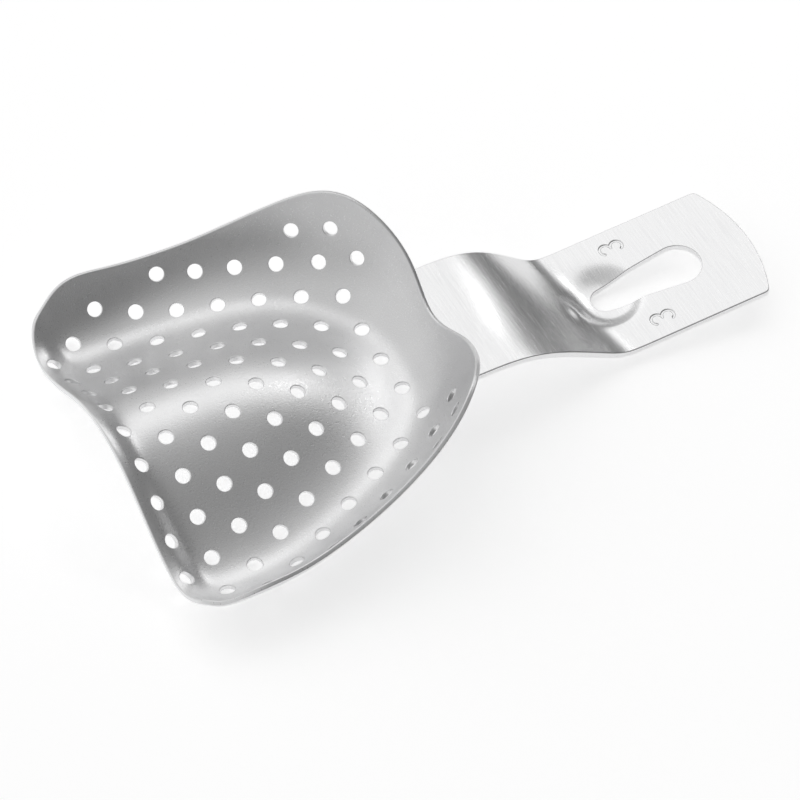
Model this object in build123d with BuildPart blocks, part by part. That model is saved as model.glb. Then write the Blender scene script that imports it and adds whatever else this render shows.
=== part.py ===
"""Perforated impression tray for a toothless upper jaw: a pressed steel bowl on a cranked steel handle.

The tray is drawn with its rim plane level: X runs forward from the back edge to the handle, Y is
sideways and Z is up, with the impression side on top. At the end it is leaned back into the pose
in which it stands on a table, on the back of the bowl and on the foot of the handle's crank.
"""
from build123d import *
import math
import os

os.makedirs("parts", exist_ok=True)

# Sheets
BOWL_SHEET = 0.8
HANDLE_SHEET = 1.0
SEAM = 0.06  # clearance between the two sheets where they are welded
SURFACE_PITCH = 1.0  # spacing of the points that carry a pressed surface
SURFACE_TOLERANCE = 0.01
SLOPE_STEP = 0.01  # for measuring how steep a surface is

# Bowl: a vault over the palate, inside a flange that rises towards the rim
VAULT_TOP = -4.1
VAULT_FALL = 20.5
VAULT_START = -20.0  # the vault falls forward from here
VAULT_LENGTH = 34.5
VAULT_WIDTH = 23.55
FORWARD_SLOPE = -0.114
FLANGE_RISE = 1.03
FLANGE_POWER = 5
FLANGE_CENTRE = -24.0
FLANGE_LENGTH = 26.3
FLANGE_WIDTH = 18.1
SQUARENESS = 2.3  # of the flange's plan: 2 would be an ellipse
DRAWS = ((19.5, 19.5, 6.0, 0.9), (-14.0, 31.0, 8.0, -0.6))  # x, y, size and rise of local draws
BOWL_LOW = (-32, -34)  # corners of the area that is drawn, before the rim trims it
BOWL_HIGH = (27, 34)
BACK_EDGE = -29.0
LIP_HEIGHT = 2.35
LIP_REACH = 1.8

# Half of the rim in plan, from the notch over the handle round to the middle of the back edge
RIM = (
    (22.6, 0),
    (23.5, 7.5),
    (22.5, 14.3),
    (19.7, 19.2),
    (15.5, 22.9),
    (10.3, 25.3),
    (-2, 28.4),
    (-14.5, 30.6),
    (-20.5, 30.8),
    (-25.2, 29.1),
    (-28.1, 25.8),
    (-28.9, 21),
    (-28.6, 13),
    (-28, 0),
)

# Perforations: a flat triangular lattice, carried along with the sheet as it was pressed
HOLE_DIAMETER = 2.15
HOLE_PITCH = 6.15  # along a row
ROW_PITCH = 5.14
ROW_BOW = 0.23  # how far a row is pushed back one place from the middle
BOW_POWER = 1.6
BACK_ZONE = -18.0  # behind this the pitch along a row gets less
BACK_SQUEEZE = 0.024
FIRST_ROW = -5
HOLES_IN_ROW = (9, 10, 11, 10, 11, 10, 9, 8, 9)
FRONT_PLACES = (-3.5, -2.5, 2.5, 3.5)  # none over the handle's tab
PRESS_STEPS = 40  # for following the pressed sheet from its middle to a perforation
PRESS_ROUNDS = 4

# Handle: a tab under the front of the bowl, a crank, and a tongue with a keyhole slot
HANDLE_WIDTH = 22.0
HANDLE_LOW = (14, -12)  # corners of the area that is drawn, before the outline trims it
HANDLE_HIGH = (76, 12)
TAB_START = 15.9
TAB_TOP = -10.4
TAB_BLEND = 0.25
TAB_END = 26.0
STRIP_SLOPE = 0.06
CRANK_SLOPE = 1.0
CRANK_TOP = 35.7
CRANK_TOP_ROUND = 2.85
CRANK_FOOT = 45.7
CRANK_FOOT_ROUND = 1.0
HANDLE_END = 74.1
END_RADIUS = 25.0
CORNER_RADIUS = 1.0
SLOT_NARROW = 50.2
SLOT_NARROW_RADIUS = 2.1
SLOT_WIDE = 62.4
SLOT_WIDE_RADIUS = 3.6
DIMPLE_CENTRE = 50.0
DIMPLE_RADIUS = 5.0
DIMPLE_DEPTH = 0.9
DIMPLE_POWER = 6
TONGUE_START = 58.0  # the tongue is pressed dead flat from here to its end
COINING = 0.02  # on each face

BLOCK_HEIGHT = 40  # of the upright block of an outline that trims a pressed face

# Spot welds between the tab and the bowl
WELD_DIAMETER = 2.4
WELD_THICKNESS = 0.7
WELD_SPACING = 5.0
WELD_COUNT = 4
WELD_X = 17.9

# Size number, stamped on both sides of the slot
MARK_X = 55.5
MARK_Y = 7.6
MARK_HEIGHT = 3.6
MARK_STROKE = 0.35
MARK_DEPTH = 0.12
FIGURE_SWEEP = 240  # degrees of arc in each half of the figure 3

# For finding how the tray stands
MESH_TOLERANCE = 0.02
MOST_LEAN = 30.0
LEAN_TOLERANCE = 1e-4


def bowl_top(x, y):
    """Height of the bowl's upper face."""
    forward = max(0, x - VAULT_START) / VAULT_LENGTH
    vault = VAULT_FALL * (math.exp(-(forward**4) - (y / VAULT_WIDTH) ** 2) - 1)
    reach = abs((x - FLANGE_CENTRE) / FLANGE_LENGTH) ** SQUARENESS + abs(y / FLANGE_WIDTH) ** SQUARENESS
    flange = FLANGE_RISE * reach ** (FLANGE_POWER / SQUARENESS)
    lip = LIP_HEIGHT * math.exp((BACK_EDGE - x) / LIP_REACH)
    height = VAULT_TOP + FORWARD_SLOPE * x + vault + flange + lip
    for draw_x, draw_y, size, rise in DRAWS:
        height += rise * math.exp(-(math.hypot(x - draw_x, abs(y) - draw_y) / size) ** 2)
    return height


def normal_at(height, x, y):
    """Upward unit normal of a height function."""
    slope_x = (height(x + SLOPE_STEP, y) - height(x - SLOPE_STEP, y)) / (2 * SLOPE_STEP)
    slope_y = (height(x, y + SLOPE_STEP) - height(x, y - SLOPE_STEP)) / (2 * SLOPE_STEP)
    return Vector(-slope_x, -slope_y, 1).normalized()


def bowl_under(x, y):
    """Height of the handle's tab where it lies against the bowl's lower face."""
    return bowl_top(x, y) - (BOWL_SHEET + SEAM) / normal_at(bowl_top, x, y).Z


def bend(x, place, rounding):
    """Zero before the place and x - place after it, with a rounded corner between."""
    return rounding * math.log(1 + math.exp((x - place) / rounding))


def handle_top(x, y):
    """Height of the handle's upper face."""
    drop = CRANK_SLOPE * (bend(x, CRANK_TOP, CRANK_TOP_ROUND) - bend(x, CRANK_FOOT, CRANK_FOOT_ROUND))
    strip = TAB_TOP - STRIP_SLOPE * (x - TAB_END) - drop
    away = math.hypot(x - DIMPLE_CENTRE, y) / DIMPLE_RADIUS
    strip -= DIMPLE_DEPTH * math.exp(-(away**DIMPLE_POWER))
    if x > TAB_END:
        return strip
    return strip - bend(strip - bowl_under(x, y), 0, TAB_BLEND)


def pressed_face(height, low, high, outline):
    """The face that a plan outline cuts out of a height function, which is sampled from low to high."""
    count_x, count_y = [round((top - bottom) / SURFACE_PITCH) for bottom, top in zip(low, high)]
    xs = [low[0] + SURFACE_PITCH * i for i in range(count_x + 1)]
    ys = [low[1] + SURFACE_PITCH * i for i in range(count_y + 1)]
    rows = [[(x, y, height(x, y)) for y in ys] for x in xs]
    face = Face.make_surface_from_array_of_points(rows, tol=SURFACE_TOLERANCE, max_deg=5)
    return face & extrude(outline, BLOCK_HEIGHT, both=True)


def reach_in_plan(section, length):
    """How far a length of sheet reaches in plan, along a section of the pressed surface."""
    step = length / PRESS_STEPS
    place = 0
    for _ in range(PRESS_STEPS):
        slope = (section(place + step) - section(place)) / step if step else 0
        place += step / math.hypot(1, slope)
    return place


def hole_places():
    """Plan position of every perforation."""
    rows = [[i - (count - 1) / 2 for i in range(count)] for count in HOLES_IN_ROW]
    rows.append(FRONT_PLACES)
    for j, places in enumerate(rows, FIRST_ROW):
        for place in places:
            along = j * ROW_PITCH - ROW_BOW * abs(place) ** BOW_POWER
            across = place * (HOLE_PITCH - BACK_SQUEEZE * max(0, BACK_ZONE - along))
            x = 0
            for _ in range(PRESS_ROUNDS):
                y = reach_in_plan(lambda t: bowl_top(x, t), across)
                x = reach_in_plan(lambda t: bowl_top(t, y), along)
            yield x, y


def on_sheet(height, x, y, depth):
    """A plane tangent to a pressed face, set below it by a depth."""
    normal = normal_at(height, x, y)
    origin = Vector(x, y, height(x, y)) - normal * depth
    return Plane(origin, x_dir=(normal.Z, 0, -normal.X), z_dir=normal)


weld_planes = [
    on_sheet(bowl_top, WELD_X, WELD_SPACING * (i - (WELD_COUNT - 1) / 2), BOWL_SHEET + SEAM / 2)
    for i in range(WELD_COUNT)
]

# Bowl: the rim's outline is cut out of the pressed surface, thickened and perforated
with BuildSketch() as rim_outline:
    with BuildLine():
        Spline(*RIM, tangents=[(0, 1), (0, -1)])
        mirror(about=Plane.XZ)
    make_face()

bowl_face = pressed_face(bowl_top, BOWL_LOW, BOWL_HIGH, rim_outline.sketch)

with BuildPart() as bowl_blank:
    thicken(bowl_face, amount=-BOWL_SHEET)
    with Locations(*[on_sheet(bowl_top, x, y, BOWL_SHEET / 2) for x, y in hole_places()]):
        Cylinder(HOLE_DIAMETER / 2, 4 * BOWL_SHEET, mode=Mode.SUBTRACT)
    with Locations(*weld_planes):
        Cylinder(WELD_DIAMETER / 2, WELD_THICKNESS, mode=Mode.SUBTRACT)

# Handle: a strip with a domed end and a keyhole slot
with BuildSketch() as handle_outline:
    with BuildLine():
        corner = (HANDLE_END - END_RADIUS + math.sqrt(END_RADIUS**2 - HANDLE_WIDTH**2 / 4), HANDLE_WIDTH / 2)
        Line((TAB_START, 0), (TAB_START, HANDLE_WIDTH / 2))
        Line((TAB_START, HANDLE_WIDTH / 2), corner)
        RadiusArc(corner, (HANDLE_END, 0), END_RADIUS)
        mirror(about=Plane.XZ)
    make_face()
    fillet(handle_outline.vertices(), CORNER_RADIUS)
    with BuildSketch(mode=Mode.SUBTRACT):
        with Locations((SLOT_NARROW, 0)):
            Circle(SLOT_NARROW_RADIUS)
        with Locations((SLOT_WIDE, 0)):
            Circle(SLOT_WIDE_RADIUS)
        make_hull()

handle_face = pressed_face(handle_top, HANDLE_LOW, HANDLE_HIGH, handle_outline.sketch)


def size_mark(y):
    """The size number 3 on the tongue, read from the handle's end."""
    tongue = on_sheet(handle_top, MARK_X, y, 0)
    half = MARK_HEIGHT / 4
    upper = CenterArc((0, half), half, -90, FIGURE_SWEEP)
    lower = CenterArc((0, -half), half, 90, -FIGURE_SWEEP)
    with BuildSketch(Plane(tongue.origin, x_dir=(0, 1, 0), z_dir=tongue.z_dir)) as mark:
        SlotArc(upper, MARK_STROKE)
        SlotArc(lower, MARK_STROKE)
    return mark.sketch


marks = [size_mark(MARK_Y), size_mark(-MARK_Y)]

with BuildPart() as handle_blank:
    thicken(handle_face, amount=-HANDLE_SHEET)
    for depth, side in ((COINING, Align.MIN), (HANDLE_SHEET - COINING, Align.MAX)):
        with Locations(on_sheet(handle_top, TONGUE_START, 0, depth)):
            Box(
                HANDLE_HIGH[0] - TONGUE_START,
                HANDLE_HIGH[1] - HANDLE_LOW[1],
                HANDLE_SHEET,
                align=(Align.MIN, Align.CENTER, side),
                mode=Mode.SUBTRACT,
            )
    with Locations(*weld_planes):
        Cylinder(WELD_DIAMETER / 2, WELD_THICKNESS, mode=Mode.SUBTRACT)
    for mark in marks:
        extrude(mark, MARK_DEPTH, both=True, mode=Mode.SUBTRACT)

with BuildPart() as weld_blanks:
    with Locations(*weld_planes):
        Cylinder(WELD_DIAMETER / 2, WELD_THICKNESS)


def leaned(points, tilt):
    """X and Z of points after the tray is leaned back by a tilt in degrees."""
    turn = math.radians(tilt)
    cos, sin = math.cos(turn), math.sin(turn)
    return [(p.X * cos - p.Z * sin, p.X * sin + p.Z * cos) for p in points]


def resting_pose(bowl, handle):
    """Where the tray stands on both sheets, with the middle of its footprint at the origin."""
    bowl_points, handle_points = [piece.tessellate(MESH_TOLERANCE)[0] for piece in (bowl, handle)]
    low, high = 0.0, MOST_LEAN
    while high - low > LEAN_TOLERANCE:
        tilt = (low + high) / 2
        bowl_foot = min(z for _, z in leaned(bowl_points, tilt))
        handle_foot = min(z for _, z in leaned(handle_points, tilt))
        if handle_foot < bowl_foot:
            low = tilt
        else:
            high = tilt
    xs, zs = zip(*leaned(bowl_points + handle_points, tilt))
    return Location((-(min(xs) + max(xs)) / 2, 0, -min(zs))) * Location((0, 0, 0), (0, -tilt, 0))


resting = resting_pose(bowl_blank.part, handle_blank.part)
print("resting pose", resting)

with BuildPart() as tray_bowl:
    with Locations(resting):
        add(bowl_blank.part)

with BuildPart() as handle:
    with Locations(resting):
        add(handle_blank.part)

with BuildPart() as spot_welds:
    with Locations(resting):
        add(weld_blanks.part)

tray_bowl.part.label = "tray_bowl"
export_step(tray_bowl.part, "parts/tray_bowl.step")
handle.part.label = "handle"
export_step(handle.part, "parts/handle.step")
spot_welds.part.label = "spot_welds"
export_step(spot_welds.part, "parts/spot_welds.step")
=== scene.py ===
import math

import bpy
import numpy as np
from mathutils import Matrix, Vector, geometry, kdtree


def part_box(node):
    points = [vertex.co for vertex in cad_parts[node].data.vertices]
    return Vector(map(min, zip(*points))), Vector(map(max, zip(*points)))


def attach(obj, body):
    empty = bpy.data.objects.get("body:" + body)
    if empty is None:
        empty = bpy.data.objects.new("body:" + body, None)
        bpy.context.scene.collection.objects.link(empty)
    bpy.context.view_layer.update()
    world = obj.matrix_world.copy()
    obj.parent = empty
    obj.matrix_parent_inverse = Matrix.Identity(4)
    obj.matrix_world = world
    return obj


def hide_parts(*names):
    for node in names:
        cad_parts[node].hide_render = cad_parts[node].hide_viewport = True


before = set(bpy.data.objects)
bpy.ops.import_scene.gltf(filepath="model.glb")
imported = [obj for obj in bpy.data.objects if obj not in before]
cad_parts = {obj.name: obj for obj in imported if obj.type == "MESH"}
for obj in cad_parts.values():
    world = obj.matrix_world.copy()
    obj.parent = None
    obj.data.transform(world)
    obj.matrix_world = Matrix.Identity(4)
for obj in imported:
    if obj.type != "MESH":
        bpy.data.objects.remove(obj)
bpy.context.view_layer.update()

# The tray is drawn in millimetres with its rim plane level, as in the CAD, and placed at the end.
MM = 0.001
LEAN = math.radians(9.671)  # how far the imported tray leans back
COS = math.cos(LEAN)
SIN = math.sin(LEAN)

# Sheets
BOWL_SHEET = 0.8
HANDLE_SHEET = 1.0
SEAM = 0.06  # between the bowl and the handle's tab
RIM_ROUND = 0.26  # deburred edges
HOLE_ROUND = 0.13
HANDLE_ROUND = 0.2
ROUND_STEPS = 4

# Bowl
VAULT_TOP = -4.1
VAULT_FALL = 20.5
VAULT_START = -20.0
VAULT_LENGTH = 34.5
VAULT_WIDTH = 23.55
FORWARD_SLOPE = -0.114
FLANGE_RISE = 1.03
FLANGE_POWER = 5
FLANGE_CENTRE = -24.0
FLANGE_LENGTH = 26.3
FLANGE_WIDTH = 18.1
SQUARENESS = 2.3
DRAWS = ((19.5, 19.5, 6.0, 0.9), (-14.0, 31.0, 8.0, -0.6))
BACK_EDGE = -29.0
LIP_HEIGHT = 2.35
LIP_REACH = 3.0  # the lip rises here, in front of the back edge, and is level behind
LIP_ROUND = 0.75
RIM = (
    (22.6, 0),
    (23.5, 7.5),
    (22.5, 14.3),
    (19.7, 19.2),
    (15.5, 22.9),
    (10.3, 25.3),
    (-2, 28.4),
    (-14.5, 30.6),
    (-20.5, 30.8),
    (-25.2, 29.1),
    (-28.1, 25.8),
    (-28.9, 21),
    (-28.6, 13),
    (-28, 0),
)

# Perforations
HOLE_DIAMETER = 2.15
HOLE_PITCH = 6.15
ROW_PITCH = 5.14
ROW_BOW = 0.23
BOW_POWER = 1.6
BACK_ZONE = -18.0
BACK_SQUEEZE = 0.024
FIRST_ROW = -5
HOLES_IN_ROW = (9, 10, 11, 10, 11, 10, 9, 8, 9)
FRONT_PLACES = (-3.5, -2.5, 2.5, 3.5)
PRESS_STEPS = 40
PRESS_ROUNDS = 4

# Handle
HANDLE_WIDTH = 22.0
TAB_START = 15.9
TAB_TOP = -10.4
TAB_BLEND = 0.25
TAB_END = 26.0
STRIP_SLOPE = 0.06
CRANK_SLOPE = 1.0
CRANK_TOP = 35.7
CRANK_TOP_ROUND = 2.85
CRANK_FOOT = 45.7
CRANK_FOOT_ROUND = 1.0
HANDLE_END = 74.1
END_RADIUS = 25.0
CORNER_RADIUS = 1.0
SLOT_NARROW = 50.2
SLOT_NARROW_RADIUS = 2.1
SLOT_WIDE = 62.4
SLOT_WIDE_RADIUS = 3.6
DIMPLE_CENTRE = 50.0
DIMPLE_RADIUS = 5.0
DIMPLE_DEPTH = 0.9
DIMPLE_POWER = 4.8
DIMPLE_SOFTER = 1.8  # how much softer its wall is on the left and sharper on the right
CRANK_BOW = 2.6  # the middle of the crank starts further back
FOOT_SLANT = 0.16  # the foot runs further out on the right
BOW_Y = -5.0
BOW_WIDTH = 9.0
PIP_X = 44.6  # a small swelling that the dimple's press pushed up in the crank
PIP_Y = -1.2
PIP_LENGTH = 1.1
PIP_WIDTH = 2.3
PIP_RISE = 0.6

# Size number, stamped on both sides of the slot
MARK_X = 55.5
MARK_Y = 7.6
MARK_HEIGHT = 3.6
MARK_STROKE = 0.35
MARK_DEPTH = 0.12
MARK_WALL = 0.4  # of the stroke
FIGURE_SWEEP = math.radians(240)

# Materials: features per metre along each axis, depths in metres
GRAIN = (4200, 4200, 4200)
CLOUDS = (90, 90, 90)
SCRATCHES = (5200, 160, 2500)
WELD_CLOUDS = (900, 900, 900)
GRAIN_SHARE = 0.3  # of the brushed steel's relief
GRAIN_DEPTH = 0.00005  # of the satin grain and of the welds
SCRATCH_DEPTH = 0.00003
SATIN_COLOURS = ((0.76, 0.76, 0.765), (0.82, 0.82, 0.822))
BRUSHED_COLOURS = ((0.75, 0.75, 0.755), (0.82, 0.82, 0.822))
WELD_COLOURS = ((0.5, 0.48, 0.46), (0.66, 0.65, 0.64))
MIX_FACTOR = 0  # sockets of the Mix node when it mixes colours
MIX_LOW = 6
MIX_HIGH = 7
MIX_COLOUR = 2

# Camera
LENS = 188.2
SENSOR = 36
CAMERA_PLACE = (-0.21459, -0.33932, 0.44962)
CAMERA_RIGHT = (0.88193, -0.46782, 0.05780)
CAMERA_UP = (0.31912, 0.68279, 0.65724)
CAMERA_BACK = (-0.34694, -0.56119, 0.75146)

# Studio
FLOOR_HALF = 3
FLOOR_COLOUR = 0.9
FLOOR_ROUGHNESS = 0.9
FLOOR_GLOW = 0.47
ROOM_AZIMUTH = 140
ROOM_ELEVATION = 25
ROOM_DIM = 0.2
ROOM_BRIGHT = 0.75
ROOM_START = -0.2  # of the cosine between a direction and the room's bright side
ROOM_END = 0.8
KEY_BOX = (60, 48, (1.1, 0.7), 0.56)  # azimuth, elevation, size, radiance
EDGE_BOX = (35, 43, (0.3, 0.1), 2.6)

# Mesh sizes
EDGE_STEP = 0.35
SURFACE_STEP = 0.55
FINE_STEP = 0.3
MARK_STEP = 0.08
SAME_POINT = 1e-6
EDGE_CLEARANCE = 0.55  # of the mesh size, between an edge and the points inside
BACK_PATCH = ((-31.0, -32.0), (-24.0, 32.0), FINE_STEP)
CRANK_PATCH = ((42.0, -12.0), (66.0, 12.0), FINE_STEP)
MARK_PATCH_LENGTH = 4.8
MARK_PATCH_WIDTH = 3.2
HOLE_SEGMENTS = 32
HOLE_ROUNDS = 3


def bowl_top(x, y):
    """Height of the bowl's upper face."""
    forward = np.maximum(0, x - VAULT_START) / VAULT_LENGTH
    vault = VAULT_FALL * (np.exp(-(forward**4) - (y / VAULT_WIDTH) ** 2) - 1)
    reach = np.abs((x - FLANGE_CENTRE) / FLANGE_LENGTH) ** SQUARENESS + np.abs(y / FLANGE_WIDTH) ** SQUARENESS
    flange = FLANGE_RISE * reach ** (FLANGE_POWER / SQUARENESS)
    lip = LIP_HEIGHT / (1 + np.exp((x - BACK_EDGE - LIP_REACH) / LIP_ROUND))
    height = VAULT_TOP + FORWARD_SLOPE * x + vault + flange + lip
    for draw_x, draw_y, size, rise in DRAWS:
        height = height + rise * np.exp(-(np.hypot(x - draw_x, np.abs(y) - draw_y) / size) ** 2)
    return height


def normals_at(height, x, y):
    """Upward unit normals of a height function."""
    step = 0.01
    slope_x = (height(x + step, y) - height(x - step, y)) / (2 * step)
    slope_y = (height(x, y + step) - height(x, y - step)) / (2 * step)
    return unit(np.stack((-slope_x, -slope_y, np.ones_like(slope_x)), axis=-1))


def unit(vectors):
    """The vectors scaled to length 1."""
    return vectors / np.linalg.norm(vectors, axis=-1, keepdims=True)


def bend(x, place, rounding):
    """Zero before the place and x - place after it, with a rounded corner between."""
    return rounding * np.logaddexp(0, (x - place) / rounding)


def handle_top(x, y):
    """Height of the handle's upper face."""
    crank_top = CRANK_TOP - CRANK_BOW * np.exp(-((y - BOW_Y) / BOW_WIDTH) ** 2)
    crank_foot = CRANK_FOOT - FOOT_SLANT * y
    fall = (CRANK_FOOT - CRANK_TOP) / (crank_foot - crank_top)
    drop = CRANK_SLOPE * fall * (bend(x, crank_top, CRANK_TOP_ROUND) - bend(x, crank_foot, CRANK_FOOT_ROUND))
    strip = TAB_TOP - STRIP_SLOPE * (x - TAB_END) - drop
    away = np.hypot(x - DIMPLE_CENTRE, y).clip(1e-6)
    power = DIMPLE_POWER - DIMPLE_SOFTER * y / away
    strip = strip - DIMPLE_DEPTH * np.exp(-((away / DIMPLE_RADIUS) ** power))
    strip = strip + PIP_RISE * np.exp(-(((x - PIP_X) / PIP_LENGTH) ** 2) - ((y - PIP_Y) / PIP_WIDTH) ** 2)
    under = bowl_top(x, y) - (BOWL_SHEET + SEAM) / normals_at(bowl_top, x, y)[..., 2]
    return np.where(x > TAB_END, strip, strip - bend(strip - under, 0, TAB_BLEND))


def stamped(x, y):
    """Depth of the size numbers below the handle's upper face."""
    depth = np.zeros_like(x)
    half = MARK_HEIGHT / 4
    for side in (-1, 1):
        across = y - side * MARK_Y
        along = MARK_X - x
        for middle in (half, -half):
            angle = np.arctan2((along - middle) * np.sign(middle), across)
            angle = np.clip(angle, -math.pi / 2, FIGURE_SWEEP - math.pi / 2)
            near_x = half * np.cos(angle)
            near_y = middle + half * np.sin(angle) * np.sign(middle)
            away = np.hypot(across - near_x, along - near_y)
            wall = np.clip((MARK_STROKE / 2 - away) / (MARK_WALL * MARK_STROKE) + 0.5, 0, 1)
            depth = np.maximum(depth, MARK_DEPTH * wall * wall * (3 - 2 * wall))
    return depth


def reach_in_plan(section, lengths):
    """How far lengths of sheet reach in plan, along sections of the pressed surface."""
    steps = lengths / PRESS_STEPS
    places = np.zeros_like(lengths)
    for _ in range(PRESS_STEPS):
        rises = section(places + steps) - section(places)
        places = places + steps * np.abs(steps) / np.hypot(steps, rises).clip(1e-12)
    return places


def hole_places():
    """Plan positions of the perforations: a flat lattice, carried along with the pressed sheet."""
    rows = [[i - (count - 1) / 2 for i in range(count)] for count in HOLES_IN_ROW]
    rows.append(FRONT_PLACES)
    spots = np.array([(j, place) for j, places in enumerate(rows, FIRST_ROW) for place in places])
    along = spots[:, 0] * ROW_PITCH - ROW_BOW * np.abs(spots[:, 1]) ** BOW_POWER
    across = spots[:, 1] * (HOLE_PITCH - BACK_SQUEEZE * np.maximum(0, BACK_ZONE - along))
    x = np.zeros_like(along)
    for _ in range(PRESS_ROUNDS):
        y = reach_in_plan(lambda t: bowl_top(x, t), across)
        x = reach_in_plan(lambda t: bowl_top(t, y), along)
    return np.stack((x, y), axis=1)


def spline(points, start, end, step):
    """Points along a smooth curve through the given points, with set directions at its ends."""
    points = np.array(points, float)
    spans = np.linalg.norm(np.diff(points, axis=0), axis=1)
    system = np.eye(len(points))
    rates = np.zeros_like(points)
    rates[0], rates[-1] = start, end
    for i in range(1, len(points) - 1):
        before, after = spans[i - 1], spans[i]
        system[i, i - 1 : i + 2] = after, 2 * (before + after), before
        arriving = after / before * (points[i] - points[i - 1])
        leaving = before / after * (points[i + 1] - points[i])
        rates[i] = 3 * (arriving + leaving)
    rates = np.linalg.solve(system, rates)
    runs = []
    for i, span in enumerate(spans):
        t = np.arange(0, 1, 1 / round(span / step))[:, None]
        blend = t * t * (3 - 2 * t)
        bulge = span * t * (1 - t) * ((1 - t) * rates[i] - t * rates[i + 1])
        runs.append(points[i] + (points[i + 1] - points[i]) * blend + bulge)
    return np.concatenate(runs + [points[-1:]])


def arc(centre, radius, start, end, step):
    """Points along an arc, both ends included, angles in degrees."""
    count = max(2, math.ceil(abs(math.radians(end - start)) * radius / step))
    angles = np.radians(np.linspace(start, end, count + 1))
    return np.array(centre) + radius * np.stack((np.cos(angles), np.sin(angles)), axis=-1)


def even(loop, step):
    """A closed loop with its long sides divided, so that no step is longer than the given one."""
    points = []
    for here, there in zip(loop, np.roll(loop, -1, axis=0)):
        count = max(1, math.ceil(np.linalg.norm(there - here) / step - 0.01))
        points += [here + (there - here) * i / count for i in range(count)]
    return np.array(points)


def rim_loop():
    """The bowl's rim in plan, anticlockwise."""
    half = spline(RIM, (0, 1), (0, -1), EDGE_STEP)
    return np.concatenate((half, half[-2:0:-1] * (1, -1)))


def hole_loop(x, y):
    """A perforation square to the sheet, clockwise in plan."""
    x, y = np.array(x), np.array(y)
    normal = normals_at(bowl_top, x, y)
    side = unit(np.cross(normal, (0, 1, 0)))
    up = np.cross(normal, side)
    angles = -np.linspace(0, 2 * math.pi, HOLE_SEGMENTS, endpoint=False)[:, None]
    ring = HOLE_DIAMETER / 2 * (np.cos(angles) * side + np.sin(angles) * up)
    ring += (x, y, bowl_top(x, y))
    for _ in range(HOLE_ROUNDS):
        ring += (bowl_top(ring[:, 0], ring[:, 1]) - ring[:, 2])[:, None] * normal * normal[2]
    return ring[:, :2]


def handle_loop():
    """The handle's outline in plan, anticlockwise."""
    half_width = HANDLE_WIDTH / 2
    centre = HANDLE_END - END_RADIUS
    corner_y = half_width - CORNER_RADIUS
    corner_x = centre + math.sqrt((END_RADIUS - CORNER_RADIUS) ** 2 - corner_y**2)
    turn = math.degrees(math.asin(corner_y / (END_RADIUS - CORNER_RADIUS)))
    upper = np.concatenate(
        (
            arc((centre, 0), END_RADIUS, 0, turn, EDGE_STEP),
            arc((corner_x, corner_y), CORNER_RADIUS, turn, 90, EDGE_STEP / 3)[1:],
            arc((TAB_START + CORNER_RADIUS, corner_y), CORNER_RADIUS, 90, 180, EDGE_STEP / 3),
        )
    )
    return even(np.concatenate((upper, upper[:0:-1] * (1, -1))), EDGE_STEP)


def slot_loop():
    """The keyhole slot in plan, clockwise."""
    turn = math.degrees(math.acos((SLOT_NARROW_RADIUS - SLOT_WIDE_RADIUS) / (SLOT_WIDE - SLOT_NARROW)))
    wide = arc((SLOT_WIDE, 0), SLOT_WIDE_RADIUS, turn, -turn, EDGE_STEP)
    narrow = arc((SLOT_NARROW, 0), SLOT_NARROW_RADIUS, -turn, turn - 360, EDGE_STEP)
    return even(np.concatenate((wide, narrow)), EDGE_STEP)


def within(points, loops):
    """Which points are inside the sheet: an odd number of the loops' sides lie to one side of them."""
    odd = np.zeros(len(points), bool)
    x, y = points[:, 0], points[:, 1]
    for loop in loops:
        low, high = loop.min(0), loop.max(0)
        near = np.flatnonzero((y >= low[1]) & (y <= high[1]) & (x <= high[0]))
        for (ax, ay), (bx, by) in zip(loop, np.roll(loop, -1, axis=0)):
            if ay == by:
                continue
            spans = (ay > y[near]) != (by > y[near])
            crosses = x[near] < ax + (bx - ax) * (y[near] - ay) / (by - ay)
            odd[near[spans & crosses]] ^= True
    return odd


def lattice(low, high, step):
    """Points of a triangular lattice over a rectangle."""
    rows = np.arange(low[1], high[1], step * math.sqrt(3) / 2)
    places = np.arange(low[0], high[0], step)
    return np.array([(x + step / 2 * (i % 2), y) for i, y in enumerate(rows) for x in places])


def fill_points(loops, step, patches):
    """Points to mesh a sheet with, between its loops, finer in the patches (low, high, step)."""
    levels = [(loops[0].min(0), loops[0].max(0), step)] + patches
    chosen = []
    for i, (low, high, pitch) in enumerate(levels):
        points = lattice(low, high, pitch)
        for finer_low, finer_high, finer_step in levels[i + 1 :]:
            inside = np.all((points > finer_low - np.array(finer_step)) & (points < finer_high), axis=1)
            points = points[~inside]
        chosen.append((points[within(points, loops)], pitch))
    edge = np.concatenate(loops)
    tree = kdtree.KDTree(len(edge))
    for i, (x, y) in enumerate(edge):
        tree.insert((x, y, 0), i)
    tree.balance()
    kept = []
    for points, pitch in chosen:
        clearance = EDGE_CLEARANCE * min(pitch, EDGE_STEP)
        kept += [(x, y) for x, y in points if tree.find((x, y, 0))[2] > clearance]
    return np.array(kept)


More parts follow.
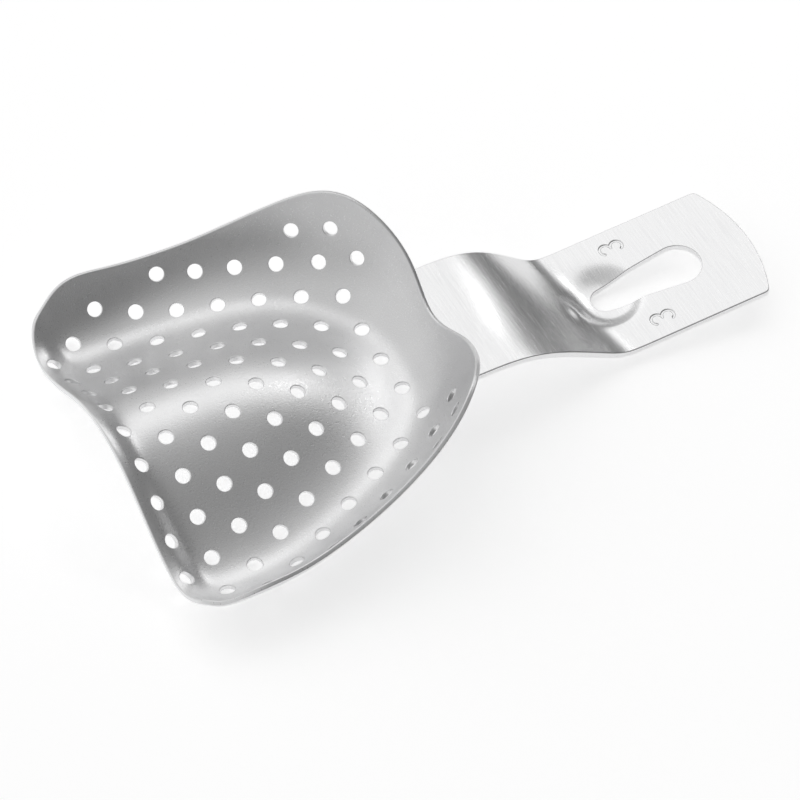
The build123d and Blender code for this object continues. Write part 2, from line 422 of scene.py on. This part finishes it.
def pressed_sheet(name, height, loops, roundings, thickness, patches, relief=None):
    """A closed mesh of a pressed sheet. The first loop is its outline, the others are openings."""
    rounding = np.concatenate([np.full(len(loop), r) for loop, r in zip(loops, roundings)])[:, None]
    edge = np.concatenate([on_surface(height, loop) for loop in loops])
    starts = np.cumsum([0] + [len(loop) for loop in loops])
    after = np.concatenate([np.roll(np.arange(a, b), -1) for a, b in zip(starts, starts[1:])])
    before = np.empty_like(after)
    before[after] = np.arange(len(after))
    tangents = unit(edge[after] - edge[before])
    outward = unit(np.cross(tangents, normals_at(height, edge[:, 0], edge[:, 1])))
    inset = (edge - rounding * outward)[:, :2]
    inset_loops = np.split(inset, starts[1:-1])

    plan = np.concatenate((inset, fill_points(inset_loops, SURFACE_STEP, patches)))
    sides = [(int(i), int(j)) for i, j in enumerate(after)]
    meshed = geometry.delaunay_2d_cdt([Vector(p) for p in plan], sides, [], 0, SAME_POINT, True)
    faces, origins = meshed[2], meshed[3]
    order = [ids[0] for ids in origins]
    faces = np.array([[order[i] for i in face] for face in faces])
    faces = faces[within(plan[faces].mean(1), inset_loops)]
    corners = plan[faces]
    turned = np.cross(corners[:, 1] - corners[:, 0], corners[:, 2] - corners[:, 0]) < 0
    faces[turned] = faces[turned][:, ::-1]

    surface = on_surface(height, plan)
    normals = normals_at(height, plan[:, 0], plan[:, 1])
    count, edges = len(plan), len(edge)
    top, top_normals = surface, normals
    if relief:
        top = surface - relief(plan[:, 0], plan[:, 1])[:, None] * (0, 0, 1)
        top_normals = normals_at(lambda x, y: height(x, y) - relief(x, y), plan[:, 0], plan[:, 1])
    outward = unit(outward - (outward * normals[:edges]).sum(1, keepdims=True) * normals[:edges])
    rings, ring_normals = [], []
    turns = np.linspace(0, math.pi / 2, ROUND_STEPS + 1)
    for depth, angles in ((rounding, turns[1:]), (thickness - rounding, turns[:-1] + math.pi / 2)):
        for angle in angles:
            direction = math.cos(angle) * normals[:edges] + math.sin(angle) * outward
            rings.append(surface[:edges] - depth * normals[:edges] + rounding * direction)
            ring_normals.append(direction)
    points = np.concatenate([top, surface - thickness * normals] + rings)
    directions = np.concatenate([top_normals, -normals] + ring_normals)
    steps = [0] + [2 * count + i * edges for i in range(len(rings))] + [count]
    here = np.arange(edges)
    walls = [
        np.stack((upper + here, lower + here, lower + after, upper + after), axis=1)
        for upper, lower in zip(steps, steps[1:])
    ]
    all_faces = faces.tolist() + (faces[:, ::-1] + count).tolist() + np.concatenate(walls).tolist()
    return make_mesh(name, placed(points), turned_normals(directions), all_faces)


def on_surface(height, plan):
    """Points of the plan at the surface's height."""
    return np.column_stack((plan, height(plan[:, 0], plan[:, 1])))


def placed(points):
    """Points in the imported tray's place, in metres, before the shift onto its box."""
    x, y, z = points.T
    return MM * np.stack((x * COS - z * SIN, y, x * SIN + z * COS), axis=1)


def turned_normals(directions):
    """Directions leaned back with the tray."""
    x, y, z = directions.T
    return np.stack((x * COS - z * SIN, y, x * SIN + z * COS), axis=1)


def make_mesh(name, points, directions, faces):
    """A piece with the given faces and a normal at each of its points."""
    mesh = bpy.data.meshes.new(name)
    mesh.from_pydata(points.tolist(), [], faces)
    mesh.update()
    mesh.normals_split_custom_set_from_vertices(directions.tolist())
    piece = bpy.data.objects.new(name, mesh)
    bpy.context.scene.collection.objects.link(piece)
    return piece


holes = [hole_loop(x, y) for x, y in hole_places()]
bowl = pressed_sheet(
    "pressed_bowl",
    bowl_top,
    [rim_loop()] + holes,
    [RIM_ROUND] + [HOLE_ROUND] * len(holes),
    BOWL_SHEET,
    [BACK_PATCH],
)
half_patch = np.array((MARK_PATCH_LENGTH, MARK_PATCH_WIDTH)) / 2
mark_places = [np.array((MARK_X, side * MARK_Y)) for side in (-1, 1)]
mark_patches = [(place - half_patch, place + half_patch, MARK_STEP) for place in mark_places]
grip = pressed_sheet(
    "pressed_handle",
    handle_top,
    [handle_loop(), slot_loop()],
    [HANDLE_ROUND, HOLE_ROUND],
    HANDLE_SHEET,
    [CRANK_PATCH] + mark_patches,
    stamped,
)


def mesh_box(piece):
    """Low and high corners of a piece's mesh."""
    points = np.empty(len(piece.data.vertices) * 3, np.float32)
    piece.data.vertices.foreach_get("co", points)
    points = points.reshape(-1, 3)
    return points.min(0), points.max(0)


shift_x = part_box("handle")[1].x - mesh_box(grip)[1][0]
shift_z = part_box("tray_bowl")[0].z - mesh_box(bowl)[0][2]
shift = Vector((shift_x, 0, shift_z))
for piece in (bowl, grip):
    piece.data.transform(Matrix.Translation(shift))


# Materials
class Nodes:
    """A material's node tree, with short calls to add and link nodes."""

    def __init__(self, name):
        self.material = bpy.data.materials.new(name)
        self.material.use_nodes = True
        self.tree = self.material.node_tree
        self.shader = self.tree.nodes["Principled BSDF"]

    def add(self, kind, inputs=None, **settings):
        """A new node with the given inputs and settings."""
        node = self.tree.nodes.new(kind)
        for key, value in settings.items():
            setattr(node, key, value)
        for key, value in (inputs or {}).items():
            self.feed(node.inputs[key], value)
        return node

    def feed(self, socket, value):
        """Links the value to the socket if it is another node's, and else sets it."""
        if isinstance(value, bpy.types.NodeSocket):
            self.tree.links.new(value, socket)
        else:
            socket.default_value = value

    def place(self, scale):
        """Object coordinates, stretched along each axis."""
        coordinates = self.add("ShaderNodeTexCoord").outputs["Object"]
        return self.add("ShaderNodeMapping", {"Vector": coordinates, "Scale": scale}).outputs["Vector"]

    def noise(self, scale, detail, rough):
        """Noise of about one feature per 1 / scale metres along each axis."""
        inputs = {"Vector": self.place(scale), "Scale": 1.0, "Detail": detail, "Roughness": rough}
        return self.add("ShaderNodeTexNoise", inputs).outputs["Fac"]

    def ranged(self, value, low, high, to_low=0.0, to_high=1.0):
        """The value's range from low to high, stretched to another range."""
        inputs = {"Value": value, "From Min": low, "From Max": high, "To Min": to_low, "To Max": to_high}
        return self.add("ShaderNodeMapRange", inputs).outputs["Result"]

    def maths(self, operation, first, second):
        return self.add("ShaderNodeMath", {0: first, 1: second}, operation=operation).outputs[0]

    def tint(self, factor, low, high):
        """A colour between low and high."""
        node = self.add("ShaderNodeMix", data_type="RGBA")
        self.feed(node.inputs[MIX_FACTOR], factor)
        self.feed(node.inputs[MIX_LOW], (*low, 1))
        self.feed(node.inputs[MIX_HIGH], (*high, 1))
        return node.outputs[MIX_COLOUR]

    def bump(self, height, distance, strength):
        """A normal raised by the given height, in metres at its largest."""
        inputs = {"Height": height, "Distance": distance, "Strength": strength}
        return self.add("ShaderNodeBump", inputs).outputs["Normal"]


def metal(m, shade, colours, roughness, relief, depth, strength):
    """Finishes a metal: its shade picks between two colours, and its relief is drawn in the surface."""
    m.feed(m.shader.inputs["Base Color"], m.tint(shade, *colours))
    m.feed(m.shader.inputs["Roughness"], roughness)
    m.feed(m.shader.inputs["Normal"], m.bump(relief, depth, strength))
    m.shader.inputs["Metallic"].default_value = 1.0
    return m.material


def satin_steel():
    """Bead-finished sheet: a fine even grain and faint cloudiness."""
    m = Nodes("satin_steel")
    grain = m.noise(GRAIN, 3.0, 0.6)
    shade = m.ranged(m.noise(CLOUDS, 3.0, 0.5), 0.3, 0.7)
    roughness = m.ranged(grain, 0.25, 0.75, 0.24, 0.42)
    return metal(m, shade, SATIN_COLOURS, roughness, grain, GRAIN_DEPTH, 0.6)


def brushed_steel():
    """Sheet brushed across the handle: long fine scratches over the satin grain."""
    m = Nodes("brushed_steel")
    grain = m.noise(GRAIN, 3.0, 0.6)
    scratches = m.noise(SCRATCHES, 4.0, 0.65)
    fine = m.maths("MULTIPLY", grain, GRAIN_SHARE)
    brushed = m.maths("MULTIPLY", scratches, 1 - GRAIN_SHARE)
    relief = m.maths("ADD", fine, brushed)
    shade = m.ranged(scratches, 0.35, 0.65)
    roughness = m.ranged(relief, 0.3, 0.7, 0.16, 0.30)
    return metal(m, shade, BRUSHED_COLOURS, roughness, relief, SCRATCH_DEPTH, 0.6)


def weld_steel():
    """Fused metal of the spot welds, with heat-tinted clouds."""
    m = Nodes("weld_steel")
    clouds = m.noise(WELD_CLOUDS, 3.0, 0.6)
    shade = m.ranged(clouds, 0.3, 0.7)
    roughness = m.ranged(clouds, 0.3, 0.7, 0.35, 0.55)
    return metal(m, shade, WELD_COLOURS, roughness, clouds, GRAIN_DEPTH, 0.5)


bowl.data.materials.append(satin_steel())
grip.data.materials.append(brushed_steel())
for piece, node, slot in ((bowl, "tray_bowl", "satin_steel"), (grip, "handle", "brushed_steel")):
    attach(piece, "root")
    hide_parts(node)
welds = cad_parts["spot_welds"]
weld_material = weld_steel()
for slot in welds.material_slots:
    slot.material = weld_material

# Camera
scene = bpy.context.scene
camera = bpy.data.objects.new("camera", bpy.data.cameras.new("camera"))
camera.data.sensor_width = SENSOR
camera.data.lens = LENS
axes = Matrix((CAMERA_RIGHT, CAMERA_UP, CAMERA_BACK)).transposed()
camera.matrix_world = Matrix.Translation(CAMERA_PLACE) @ axes.to_4x4()
scene.collection.objects.link(camera)
scene.camera = camera

# Studio
floor_mesh = bpy.data.meshes.new("floor")
floor_corners = [(x * FLOOR_HALF, y * FLOOR_HALF, 0) for x, y in ((-1, -1), (1, -1), (1, 1), (-1, 1))]
floor_mesh.from_pydata(floor_corners, [], [(0, 1, 2, 3)])
floor = bpy.data.objects.new("floor", floor_mesh)
scene.collection.objects.link(floor)
floor_material = Nodes("floor")
floor_material.shader.inputs["Base Color"].default_value = (FLOOR_COLOUR, FLOOR_COLOUR, FLOOR_COLOUR, 1)
floor_material.shader.inputs["Roughness"].default_value = FLOOR_ROUGHNESS
floor_material.shader.inputs["Emission Color"].default_value = (1, 1, 1, 1)
floor_material.shader.inputs["Emission Strength"].default_value = FLOOR_GLOW
floor.data.materials.append(floor_material.material)


def direction(azimuth, elevation):
    """A unit vector, with its angles in degrees."""
    turn, rise = math.radians(azimuth), math.radians(elevation)
    return Vector((math.cos(turn) * math.cos(rise), math.sin(turn) * math.cos(rise), math.sin(rise)))


def studio_world():
    """A room that is bright to the left and behind the tray, and dim in front and to the right."""
    world = bpy.data.worlds.new("studio")
    world.use_nodes = True
    tree = world.node_tree
    lit = tree.nodes.new("ShaderNodeVectorMath")
    lit.operation = "DOT_PRODUCT"
    lit.inputs[1].default_value = direction(ROOM_AZIMUTH, ROOM_ELEVATION)
    tree.links.new(tree.nodes.new("ShaderNodeTexCoord").outputs["Generated"], lit.inputs[0])
    room = tree.nodes.new("ShaderNodeMapRange")
    for key, value in (
        ("From Min", ROOM_START),
        ("From Max", ROOM_END),
        ("To Min", ROOM_DIM),
        ("To Max", ROOM_BRIGHT),
    ):
        room.inputs[key].default_value = value
    tree.links.new(lit.outputs["Value"], room.inputs["Value"])
    tree.links.new(room.outputs["Result"], tree.nodes["Background"].inputs["Color"])
    return world


scene.world = studio_world()
scene.view_settings.view_transform = "Standard"


def softbox(name, azimuth, elevation, size, radiance):
    """A soft light a metre away, aimed at the tray."""
    light = bpy.data.lights.new(name, "AREA")
    light.shape = "RECTANGLE"
    light.size, light.size_y = size
    light.energy = radiance * math.pi * size[0] * size[1]
    lamp = bpy.data.objects.new(name, light)
    lamp.location = direction(azimuth, elevation)
    lamp.rotation_euler = (-lamp.location).to_track_quat("-Z", "Y").to_euler()
    scene.collection.objects.link(lamp)


softbox("key_box", *KEY_BOX)
softbox("edge_box", *EDGE_BOX)
